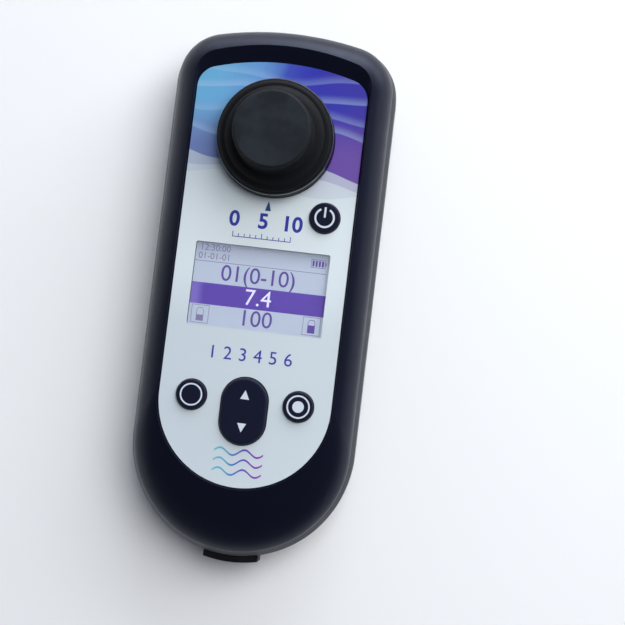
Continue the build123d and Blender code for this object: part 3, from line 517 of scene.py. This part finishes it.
def figures(name, text, size, centre, z, thickness, material, body, slotName, spacing=1.0, bold=0.0):
    curve = bpy.data.curves.new(name + "Curve", "FONT")
    curve.body = text
    curve.size = size
    curve.space_character = spacing
    curve.align_x = "CENTER"
    curve.align_y = "CENTER"
    curve.extrude = thickness / 2
    curve.offset = bold
    curve.resolution_u = 6
    holder = bpy.data.objects.new(name + "Holder", curve)
    bpy.context.scene.collection.objects.link(holder)
    bpy.context.view_layer.update()
    mesh = bpy.data.meshes.new_from_object(holder.evaluated_get(bpy.context.evaluated_depsgraph_get()))
    bpy.data.objects.remove(holder)
    made = bmesh.new()
    made.from_mesh(mesh)
    bmesh.ops.remove_doubles(made, verts=made.verts, dist=1e-7)
    bmesh.ops.translate(made, verts=made.verts, vec=(centre[0], centre[1], z + thickness / 2))
    mesh.materials.clear()
    return finished(name, mesh, made, material, body)


# Marks on the keys
keyMarks = {
    "thickness": 0.05 * mm,
    "sink": 0.03 * mm,  # how deep a mark sits in its key
    "leftRing": (3.55 * mm, 4.1 * mm),
    "rightRing": (3.66 * mm, 4.24 * mm),
    "rightDot": 2.1 * mm,
    "powerRing": (3.0 * mm, 3.72 * mm),
    "powerGap": 28,
    "powerBar": (0.72 * mm, 3.8 * mm),
    "powerBarFoot": 0.1 * mm,
    "arrowReach": 6.0 * mm,
    "arrowSize": 3.3 * mm,
}


def keyMark():
    look = keyMarks
    z = keyZ - look["sink"]
    thickness, slotName = look["thickness"], "face_print"
    left, right, power, rocker = [middleOf(n) for n in ("left_key", "right_key", "power_key", "rocker_key")]

    def ring(name, loops, body):
        ringOf(name, loops, z, thickness, markWhite, body)

    def plate(name, loops, body):
        plateOf(name, loops, z, thickness, markWhite, body, slotName)

    ring("leftRingMark", [(left, *look["leftRing"], 0, 360)], "left_key")
    ring("rightRingMark", [(right, *look["rightRing"], 0, 360)], "right_key")
    plate("rightDotMark", [discLoop(right, look["rightDot"])], "right_key")
    gap = look["powerGap"]
    ring("powerRingMark", [(power, *look["powerRing"], 90 + gap, 450 - gap)], "power_key")
    halfBar, foot = look["powerBar"][0] / 2, power.y + look["powerBarFoot"]
    bar = boxLoop(power.x - halfBar, foot, power.x + halfBar, foot + look["powerBar"][1])
    plate("powerBarMark", [bar], "power_key")
    half = look["arrowSize"] / 2
    arrows = []
    for way in (1, -1):
        y = rocker.y + way * look["arrowReach"]
        arrow = [(-half, y - way * half), (half, y - way * half), (0, y + way * half)]
        arrows.append(arrow if way == 1 else arrow[::-1])
    plate("rockerArrowMarks", arrows, "rocker_key")


keyMark()


# Marks on the label: an arrow under the cap, plain figures and three wave lines
labelMarks = {
    "thickness": 0.04 * mm,
    "sink": 0.01 * mm,  # how deep the print sits in the label
    "arrowTip": 32.2 * mm,
    "arrowLength": 3.4 * mm,
    "arrowWidth": 2.2 * mm,
    "arrowBlunt": 0.24 * mm,
    "figures": "1 2 3 4 5 6",
    "figureY": -24.6 * mm,
    "figureSize": 6.7 * mm,
    "scaleFigures": ("0", "5", "10"),
    "scaleCentre": (-1.2 * mm, 24.6 * mm),
    "scaleSize": 7.8 * mm,
    "scaleBold": 0.20 * mm,
    "scaleHalf": 10.6 * mm,
    "scaleY": 18.3 * mm,
    "scaleLine": 0.28 * mm,
    "tick": 1.2 * mm,
    "longTick": 1.9 * mm,
    "waveY": (-59.6 * mm, -63.2 * mm, -66.8 * mm),
    "waveHalf": 9.0 * mm,
    "waveLine": 0.34 * mm,
    "waveSwing": 1.15 * mm,
}


def waveInk():
    made = Finish("waveInk")
    x = made.axis("X")
    stops = [(0.0, (0.10, 0.50, 0.60)), (0.45, (0.06, 0.12, 0.5)), (1.0, (0.26, 0.03, 0.42))]
    across = made.step(x, -labelMarks["waveHalf"], labelMarks["waveHalf"])
    hue = made.node("ShaderNodeValToRGB", {"stops": stops}, {"Fac": across})
    made.set(Base_Color=hue, Roughness=0.4 + made.noise(0.0006, 2) * 0.08)
    return made.material


def labelMark():
    look = labelMarks
    z = faceZ - look["sink"]
    thickness, carrier = look["thickness"], ("instrument", "face_print")

    def lay(name, loops, ink):
        plateOf(name, loops, z, thickness, ink, *carrier)

    tip, half, foot = look["arrowTip"], look["arrowWidth"] / 2, look["arrowTip"] - look["arrowLength"]
    blunt = look["arrowBlunt"] / 2
    lay("wellArrowMark", [[(-half, foot), (half, foot), (blunt, tip), (-blunt, tip)]], inkArrow)
    centre = (0, look["figureY"])
    figures("stepFigures", look["figures"], look["figureSize"], centre, z, thickness, inkBlue, *carrier, 1.05)
    middle, y = look["scaleCentre"]
    size, bold = look["scaleSize"], look["scaleBold"]
    for i, text in enumerate(look["scaleFigures"]):
        place = (middle + (i - 1) * look["scaleHalf"], y)
        figures("scaleFigure" + text, text, size, place, z, thickness, inkBlue, *carrier, 1.0, bold)
    half, line, low = look["scaleHalf"], look["scaleLine"] / 2, look["scaleY"]
    ticks = [boxLoop(middle - half - line, low - line, middle + half + line, low + line)]
    for i in range(11):
        x = middle + (i - 5) * half / 5
        rise = look["tick"] if i % 5 else look["longTick"]
        ticks.append(boxLoop(x - line, low + line, x + line, low + rise))
    lay("scaleTicks", ticks, inkBlue)
    reach, swing, line = look["waveHalf"], look["waveSwing"], look["waveLine"]
    loops = []
    for y in look["waveY"]:
        steps = 40
        xs = [-reach + 2 * reach * i / steps for i in range(steps + 1)]
        crest = [(x, y + swing * math.sin(x / reach * 2 * math.pi)) for x in xs]
        low = [(x, h - line) for x, h in crest]
        high = [(x, h + line) for x, h in reversed(crest)]
        loops.append(low + high)
    lay("waveLines", loops, waveInk())


labelMark()
print("marks laid on the keys and the label")


# Picture on the display
picture = {
    "width": 49.4 * mm,
    "height": 30.4 * mm,
    "ink": 0.03 * mm,
    "lift": 0.005 * mm,  # how far the picture lies over the glass
    "divider": 0.226,
    "barTop": 0.486,
    "barFoot": 0.746,
    "figureSize": 8.4 * mm,
    "clockSize": 3.3 * mm,
}


def displayPicture():
    look = picture
    z = glassTop + look["lift"]
    ink = look["ink"]
    halfWidth, halfHeight = look["width"] / 2, look["height"] / 2
    carrier = ("instrument", "display_glass")

    def down(share):
        return halfHeight - look["height"] * share

    def lay(name, loops, material, level=0):
        plateOf(name, loops, z + level * ink, ink, material, *carrier)

    def write(name, text, size, centre, material, level=0, spacing=1.0):
        figures(name, text, size, centre, z + level * ink, ink, material, *carrier, spacing)

    past = halfWidth + 1 * mm  # the bar runs under the edge of the opening
    lay("displayBarPlate", [boxLoop(-past, down(look["barFoot"]), past, down(look["barTop"]))], barViolet)
    line = 0.22 * mm
    dividerY = down(look["divider"])
    divider = boxLoop(-halfWidth, dividerY - line / 2, halfWidth - 1 * mm, dividerY + line / 2)
    lay("displayDivider", [divider], figureFaint)
    write("displayClock", "12:30:00", look["clockSize"], (-halfWidth + 7.0 * mm, down(0.06)), figureFaint)
    write("displayDate", "01-01-01", look["clockSize"], (-halfWidth + 7.0 * mm, down(0.165)), figureFaint)
    write("displayFirst", "01(0-10)", look["figureSize"], (-0.8 * mm, down(0.355)), figureViolet, 0, 0.96)
    write("displayChosen", "7.4", look["figureSize"], (0, down(0.616)), figureWhite, 1)
    write("displayThird", "100", look["figureSize"], (0, down(0.868)), figureViolet)
    # Battery sign with four bars
    right, top = halfWidth - 1.6 * mm, down(0.06)
    width, height, wallLine = 5.3 * mm, 3.1 * mm, 0.22 * mm
    left, foot = right - width, top - height
    frameLoops = [
        boxLoop(left, foot, right, foot + wallLine),
        boxLoop(left, top - wallLine, right, top),
        boxLoop(left, foot + wallLine, left + wallLine, top - wallLine),
        boxLoop(right - wallLine, foot + wallLine, right, top - wallLine),
        boxLoop(right, foot + height * 0.3, right + 0.4 * mm, top - height * 0.3),
    ]
    lay("displayBatteryFrame", frameLoops, figureFaint)
    starts = [left + (0.55 + 1.15 * i) * mm for i in range(4)]
    bars = [boxLoop(start, foot + 0.5 * mm, start + 0.7 * mm, top - 0.5 * mm) for start in starts]
    lay("displayBatteryBars", bars, figureViolet)
    # Boxed vial signs in the lower corners
    for name, x0, filled in (("Empty", -halfWidth + 0.9 * mm, False), ("Full", halfWidth - 7.4 * mm, True)):
        x1, y0, y1 = x0 + 6.5 * mm, -halfHeight + 0.7 * mm, -halfHeight + 7.4 * mm
        line = 0.2 * mm
        box = [
            boxLoop(x0, y0, x1, y0 + line),
            boxLoop(x0, y1 - line, x1, y1),
            boxLoop(x0, y0 + line, x0 + line, y1 - line),
            boxLoop(x1 - line, y0 + line, x1, y1 - line),
        ]
        lay("displayBox" + name, box, figureFaint)
        cx, vialFoot, vialHalf = (x0 + x1) / 2, y0 + 0.8 * mm, 1.35 * mm
        shoulder, neck = vialFoot + 3.9 * mm, vialFoot + 4.7 * mm
        neckOuter, neckInner = vialHalf * 0.65, vialHalf * 0.5
        outline = [
            boxLoop(cx - vialHalf, vialFoot, cx - vialHalf + line, shoulder),
            boxLoop(cx + vialHalf - line, vialFoot, cx + vialHalf, shoulder),
            boxLoop(cx - vialHalf + line, vialFoot, cx + vialHalf - line, vialFoot + line),
            boxLoop(cx - neckOuter, neck, cx + neckOuter, neck + line),
        ]
        for way in (-1, 1):  # the sloping shoulders
            slope = [(vialHalf, shoulder), (vialHalf - line, shoulder), (neckInner, neck), (neckOuter, neck)]
            outline.append([(cx + way * x, y) for x, y in slope])
        lay("displayVial" + name, outline, figureViolet if filled else figureFaint)
        level = vialFoot + (2.9 if filled else 2.2) * mm
        water = boxLoop(cx - vialHalf + line, vialFoot + line, cx + vialHalf - line, level)
        lay("displayWater" + name, [water], figureViolet if filled else figureFaint)


displayPicture()
print("display drawn")


# Floor, light and camera
studio = {
    "floor": (0.93, 0.94, 0.95),
    "floorSize": 6.0,
    "horizonBright": (4.4, 4.6, 5.1),
    "horizonDim": (0.42, 0.44, 0.50),
    "haze": (0.92, 0.94, 0.97),
    "glowFrom": 0.22,  # metres from the instrument where the floor begins to shine faintly
    "glowTo": 0.95,
    "glow": 0.85,
    "zenith": (0.075, 0.08, 0.10),
    "brightSide": (0.25, 0.97, 0.0),  # the way to the bright part of the horizon
    "brightSpread": (0.2, 0.9),
    "skyRise": (0.03, 0.5),  # heights between which the horizon fades into the zenith
    "hazeBand": (0.3, 0.16),
    "aim": (0, 0, 0.02),  # the point that the lamps face
    "lamps": {
        "key": {"place": (0.8, 0.7, 0.62), "size": 0.6, "power": 3.6, "colour": (1.0, 0.99, 0.98)},
        "top": {"place": (0.2, 1.1, 0.5), "size": 0.8, "power": 5.5, "colour": (0.90, 0.94, 1.0)},
        "even": {"place": (0.5, 0.42, 1.35), "size": 1.2, "power": 16.5, "colour": (0.99, 0.995, 1.0)},
    },
    "diffuseOnly": ("even", "key"),  # lights the faces without a mirror image in them
}


def floorFinish():
    made = Finish("floorPale")
    cloud = made.noise(0.35, 3)
    darker = tuple(c * 0.985 for c in studio["floor"])
    made.set(Base_Color=made.mix(cloud, studio["floor"], darker), Roughness=0.85)
    away = made.node("ShaderNodeVectorMath", {"operation": "LENGTH"}, {0: made.place}, "Value")
    far = made.step(away, studio["glowFrom"], studio["glowTo"]) * made.seenRay()
    made.set(Emission_Color=made.mix(far, (0.0, 0.0, 0.0), studio["haze"]), Emission_Strength=studio["glow"])
    return made.material


def buildStudio():
    mesh = bpy.data.meshes.new("floor")
    made = bmesh.new()
    bmesh.ops.create_circle(made, cap_ends=True, segments=96, radius=studio["floorSize"])
    made.to_mesh(mesh)
    made.free()
    floor = bpy.data.objects.new("floor", mesh)
    bpy.context.scene.collection.objects.link(floor)
    mesh.materials.append(floorFinish())
    target = Vector(studio["aim"])
    for name, look in studio["lamps"].items():
        lamp = bpy.data.lights.new(name + "Lamp", "AREA")
        lamp.shape = "DISK"
        lamp.size = look["size"]
        lamp.energy = look["power"]
        lamp.color = look["colour"]
        holder = bpy.data.objects.new(name + "Lamp", lamp)
        holder.location = look["place"]
        holder.rotation_euler = (target - Vector(look["place"])).to_track_quat("-Z", "Y").to_euler()
        holder.visible_glossy = name not in studio["diffuseOnly"]
        bpy.context.scene.collection.objects.link(holder)
    world = bpy.data.worlds.new("studioWorld")
    bpy.context.scene.world = world
    world.use_nodes = True
    sky = Shading(world.node_tree, "Generated")
    height = sky.axis("Z")
    inputs = {0: sky.place, 1: studio["brightSide"]}
    toBright = sky.node("ShaderNodeVectorMath", {"operation": "DOT_PRODUCT"}, inputs, "Value")
    bright = sky.step(toBright, *studio["brightSpread"])
    horizon = sky.mix(bright, studio["horizonDim"], studio["horizonBright"])
    upper = sky.mix(sky.step(height, *studio["skyRise"]), horizon, studio["zenith"])
    haze = sky.step(height, *studio["hazeBand"]) * (1 - bright)  # a band all round, as pale as the floor
    shown = sky.mix(haze * sky.seenRay(), upper, studio["haze"])
    sky.tree.links.new(shown.socket, sky.tree.nodes["Background"].inputs["Color"])


buildStudio()

view = {
    "place": (50.4 * mm, -32.8 * mm, 530.8 * mm),
    "tilt": (3.4504, 3.0479, 6.8065),  # degrees about the instrument's x, y and z
    "lens": 79.2,
}
camera = bpy.data.cameras.new("photoCamera")
camera.lens = view["lens"]
camera.sensor_width = 36
camera.clip_start = 0.01
holder = bpy.data.objects.new("photoCamera", camera)
holder.location = view["place"]
holder.rotation_euler = Euler([math.radians(a) for a in view["tilt"]])
bpy.context.scene.collection.objects.link(holder)
bpy.context.scene.camera = holder
bpy.context.scene.view_settings.view_transform = "Standard"
print("floor, lamps and camera placed")
